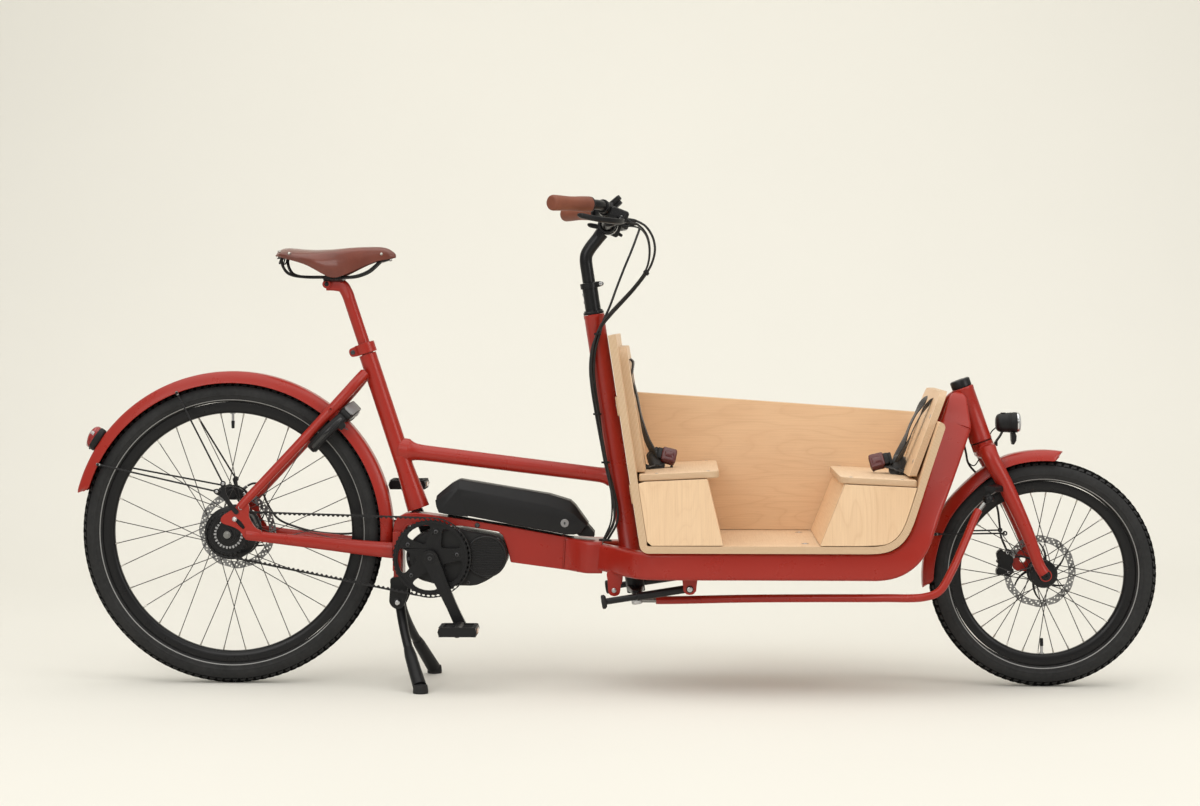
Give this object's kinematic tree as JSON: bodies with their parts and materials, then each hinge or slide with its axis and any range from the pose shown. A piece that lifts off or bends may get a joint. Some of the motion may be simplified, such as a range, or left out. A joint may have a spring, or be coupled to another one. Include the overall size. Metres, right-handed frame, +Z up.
{
  "type": "front-loading cargo bike",
  "caption": "Long low-deck cargo bicycle with a wooden child box in front of the rider, facing benches, linkage steering, mid-drive motor unit and belt drive.",
  "frame": {"origin": "on the ground below the middle of the bike's length, in the mid plane of its two wheels", "axes": "+X towards the front wheel, +Y to the rider's left, +Z up"},
  "size_m": [2.467, 0.6614, 1.119],
  "materials": {
    "red_paint": "satin",
    "black_plastic": "matte",
    "black_metal": "satin",
    "tyre_rubber": "matte",
    "black_rubber": "matte",
    "steel": "brushed",
    "plywood": "satin",
    "webbing": "matte",
    "brown_leather": "satin",
    "tan_grip": "satin"
  },
  "bodies": {
    "frame": {"rear_beam": "red_paint", "deck_rail_right": "red_paint", "deck_rail_left": "red_paint", "deck_crossmembers": "red_paint", "front_head_tube": "red_paint", "steering_tube": "red_paint", "top_tube": "red_paint", "seat_tube": "red_paint", "seat_stays": "red_paint", "chain_stay_right": "red_paint", "chain_stay_left": "red_paint", "drive_unit": "black_plastic", "rear_fender": "red_paint", "tail_light": "black_plastic", "ring_lock": "black_plastic", "rear_caliper": "black_metal", "drive_belt": "black_rubber", "box_tray": "plywood", "box_side_left": "plywood", "rear_backrest": "plywood", "front_backrest": "plywood", "rear_seat_board": "plywood", "rear_seat_box": "plywood", "front_seat_board": "plywood", "front_seat_box": "plywood", "rear_harness": "webbing", "front_harness": "webbing", "kickstand_bracket": "black_metal", "cables_lower": "black_rubber"},
    "rear_wheel": {"rear_tyre": "tyre_rubber", "rear_wheel": "black_metal", "rear_rotor": "steel"},
    "rear_cog": {"rear_cog": "steel"},
    "crank": {"chainring": "black_metal", "crank_right": "black_metal", "crank_left": "black_metal"},
    "pedal_right": {"pedal_right": "black_plastic"},
    "pedal_left": {"pedal_left": "black_plastic"},
    "steerer": {"steering_column": "black_metal"},
    "cockpit": {"handlebar_stem": "black_metal", "handlebar": "black_metal", "grip_right": "tan_grip", "grip_left": "tan_grip", "cables_upper": "black_rubber"},
    "brake_lever_right": {"brake_lever_right": "black_metal"},
    "brake_lever_left": {"brake_lever_left": "black_metal"},
    "steering_rod": {"steering_rod": "red_paint"},
    "fork": {"fork": "red_paint", "front_fender": "red_paint", "headlight": "black_plastic", "front_caliper": "black_metal"},
    "front_wheel": {"front_tyre": "tyre_rubber", "front_wheel": "black_metal", "front_rotor": "steel"},
    "saddle": {"seatpost": "red_paint", "saddle": "brown_leather"},
    "battery": {"battery": "black_plastic"},
    "lock_bow": {"lock_bow": "steel"},
    "kickstand": {"kickstand": "black_metal"},
    "front_stand": {"front_stand": "black_metal"}
  },
  "joints": [
    {"name": "rear_wheel_spin", "type": "hinge", "parent": "frame", "child": "rear_wheel", "pos_m": [-0.8745, 0, 0.347], "axis": [0, 1, 0], "continuous": true},
    {"name": "crank_spin", "type": "hinge", "parent": "frame", "child": "crank", "pos_m": [-0.4143, 0, 0.2945], "axis": [0, 1, 0], "continuous": true},
    {"name": "rear_cog_spin", "type": "hinge", "parent": "frame", "child": "rear_cog", "pos_m": [-0.8745, 0, 0.347], "axis": [0, 1, 0], "continuous": true},
    {"name": "pedal_right_spin", "type": "hinge", "parent": "crank", "child": "pedal_right", "pos_m": [-0.3438, 0, 0.13981], "axis": [0, 1, 0], "continuous": true},
    {"name": "pedal_left_spin", "type": "hinge", "parent": "crank", "child": "pedal_left", "pos_m": [-0.4848, 0, 0.44919], "axis": [0, 1, 0], "continuous": true},
    {"name": "steering", "type": "hinge", "parent": "frame", "child": "steerer", "pos_m": [0.00759, 0, 0.5], "axis": [-0.1514, 0, 0.9885], "range_deg": [-35, 35], "deforming": ["cables_upper", "cables_lower"]},
    {"name": "stem_height", "type": "slide", "parent": "steerer", "child": "cockpit", "axis": [-0.1514, 0, 0.9885], "range_m": [0, 0.06], "deforming": ["cables_upper"]},
    {"name": "brake_lever_right_pull", "type": "hinge", "parent": "cockpit", "child": "brake_lever_right", "pos_m": [0.0235, -0.184, 1.055], "axis": [0, 0, -1], "range_deg": [0, 11], "stiffness_Nm_per_rad": 0.8, "springref_deg": -14.32},
    {"name": "brake_lever_left_pull", "type": "hinge", "parent": "cockpit", "child": "brake_lever_left", "pos_m": [0.0235, 0.184, 1.055], "axis": [0, 0, 1], "range_deg": [0, 11], "stiffness_Nm_per_rad": 0.8, "springref_deg": -14.32},
    {"name": "rod_swivel", "type": "hinge", "parent": "steerer", "child": "steering_rod", "pos_m": [0.0545, -0.092, 0.203], "axis": [-0.1514, 0, 0.9885], "range_deg": [-35, 35]},
    {"name": "fork_turn", "type": "hinge", "parent": "frame", "child": "fork", "pos_m": [0.82085, 0, 0.6], "axis": [-0.3371, 0, 0.9415], "range_deg": [-35, 35]},
    {"name": "front_wheel_spin", "type": "hinge", "parent": "fork", "child": "front_wheel", "pos_m": [0.9755, 0, 0.258], "axis": [0, 1, 0], "continuous": true},
    {"name": "saddle_height", "type": "slide", "parent": "frame", "child": "saddle", "axis": [-0.3123, 0, 0.95], "range_m": [-0.1, 0.06]},
    {"name": "battery_tilt", "type": "hinge", "parent": "frame", "child": "battery", "pos_m": [-0.2265, 0.042, 0.3662], "axis": [-0.9826, 0, 0.1855], "range_deg": [0, 20]},
    {"name": "lock_bow_turn", "type": "hinge", "parent": "frame", "child": "lock_bow", "pos_m": [-0.648, 0, 0.5759], "axis": [-0.7108, 0, 0.7034], "range_deg": [0, 85]},
    {"name": "kickstand_fold", "type": "hinge", "parent": "frame", "child": "kickstand", "pos_m": [-0.4935, 0, 0.1885], "axis": [0, 1, 0], "range_deg": [0, 105]},
    {"name": "front_stand_fold", "type": "hinge", "parent": "frame", "child": "front_stand", "pos_m": [0.1735, 0, 0.236], "axis": [0, -1, 0], "range_deg": [0, 98]}
  ],
  "couplings": [
    {"joint": "rear_cog_spin", "follows": "crank_spin", "ratio": 1.7857},
    {"joint": "rod_swivel", "follows": "steering", "ratio": -1},
    {"joint": "fork_turn", "follows": "steering", "ratio": 1}
  ]
}
